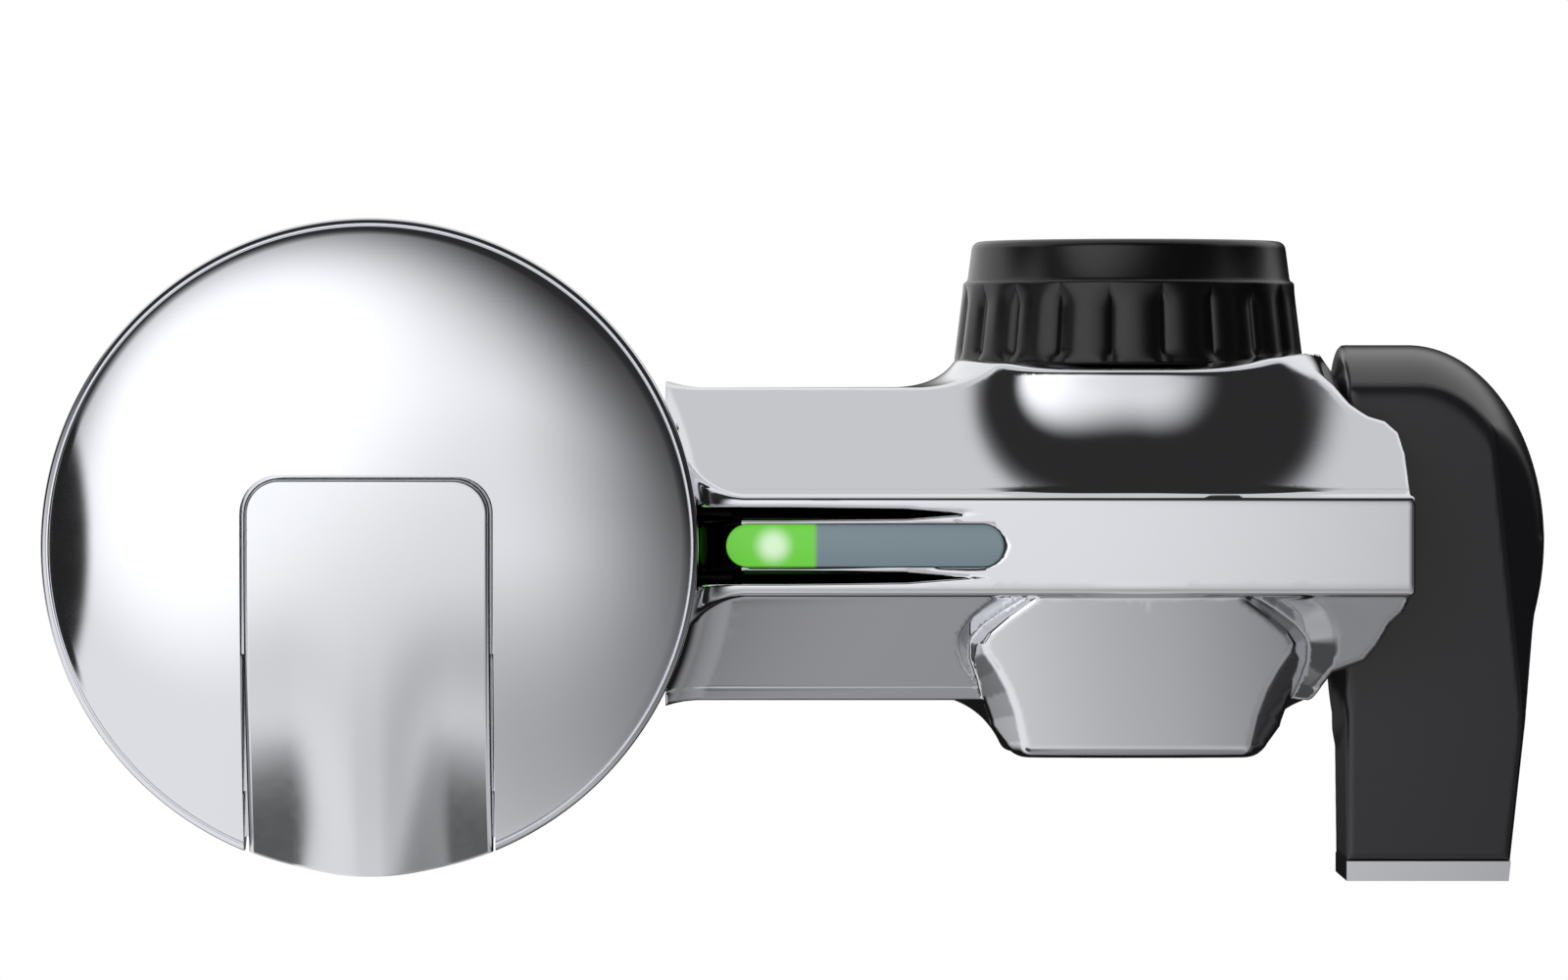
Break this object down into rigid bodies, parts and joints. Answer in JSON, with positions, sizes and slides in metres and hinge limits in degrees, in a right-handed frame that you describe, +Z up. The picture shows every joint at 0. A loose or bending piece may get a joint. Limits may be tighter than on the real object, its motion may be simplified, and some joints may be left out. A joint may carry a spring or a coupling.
{
  "type": "faucet mount water filter",
  "caption": "Chrome water filter that screws onto a tap outlet: round cartridge drum, arm with status light, fluted collar, spout and black diverter lever.",
  "frame": {"origin": "centre of the mounting thread at the top face of the collar", "axes": "+Z up, out of the mounting thread; +X towards the lever, with the cartridge drum at -X; +Y to the back, so the status light faces -Y"},
  "size_m": [0.1724, 0.0846, 0.076],
  "materials": {
    "chrome": "bright chrome plating on moulded plastic",
    "black_plastic_gloss": "glossy black moulded plastic",
    "black_plastic": "matte black moulded plastic",
    "grey_plastic": "moulded acetal",
    "white_plastic": "moulded polypropylene",
    "blue_plastic": "moulded plastic",
    "rubber": "black moulded rubber",
    "steel": "stainless steel",
    "lens": "translucent smoked plastic",
    "lamp": "clear epoxy",
    "board": "green solder mask",
    "filter_paper": "pleated filter paper",
    "carbon": "pressed carbon"
  },
  "bodies": {
    "base": {"collar_clip": "steel", "inlet_washer": "rubber", "inlet_screen": "steel", "base_shell": "chrome", "base_rear_cover": "black_plastic", "base_screws": "steel", "valve_body": "grey_plastic", "spout_insert": "black_plastic", "aerator_screen": "steel", "status_lens": "lens", "status_lamps": "lamp", "circuit_board": "board", "coin_battery": "steel", "turbine_pin": "steel", "raw_water_tube": "white_plastic", "filtered_water_tube": "white_plastic", "drum_shell": "chrome", "tongue_panel": "chrome", "pressure_vessel": "white_plastic", "cartridge_front_cap": "white_plastic", "cartridge_rear_cap": "white_plastic", "pleated_wrap": "filter_paper", "carbon_block": "carbon", "core_tube": "white_plastic", "cartridge_ring": "rubber"},
    "collar": {"mount_collar": "black_plastic_gloss"},
    "lever": {"diverter_spool": "white_plastic", "spool_rings": "rubber", "spool_clip": "steel", "lever_handle": "black_plastic_gloss", "lever_tip": "chrome", "lever_screw": "steel"},
    "seal": {"cover_seal": "rubber"},
    "cover": {"rear_cover": "chrome"},
    "turbine": {"flow_turbine": "blue_plastic"}
  },
  "joints": [
    {"name": "collar_spin", "type": "hinge", "parent": "base", "child": "collar", "pos_m": [0, 0, 0], "axis": [0, 0, 1], "continuous": true},
    {"name": "lever_turn", "type": "hinge", "parent": "base", "child": "lever", "pos_m": [0.03, 0, -0.035], "axis": [1, 0, 0], "range_deg": [0, 90]},
    {"name": "cover_travel", "type": "slide", "parent": "base", "child": "seal", "axis": [0, 1, 0], "range_m": [0, 0.009]},
    {"name": "cover_turn", "type": "hinge", "parent": "seal", "child": "cover", "pos_m": [-0.087, 0.035, -0.035], "axis": [0, 1, 0], "range_deg": [0, 360]},
    {"name": "turbine_spin", "type": "hinge", "parent": "base", "child": "turbine", "pos_m": [-0.024, 0.0076, -0.035], "axis": [1, 0, 0], "continuous": true}
  ],
  "couplings": [
    {"joint": "cover_travel", "follows": "cover_turn", "m_per_rad": 0.00143}
  ]
}
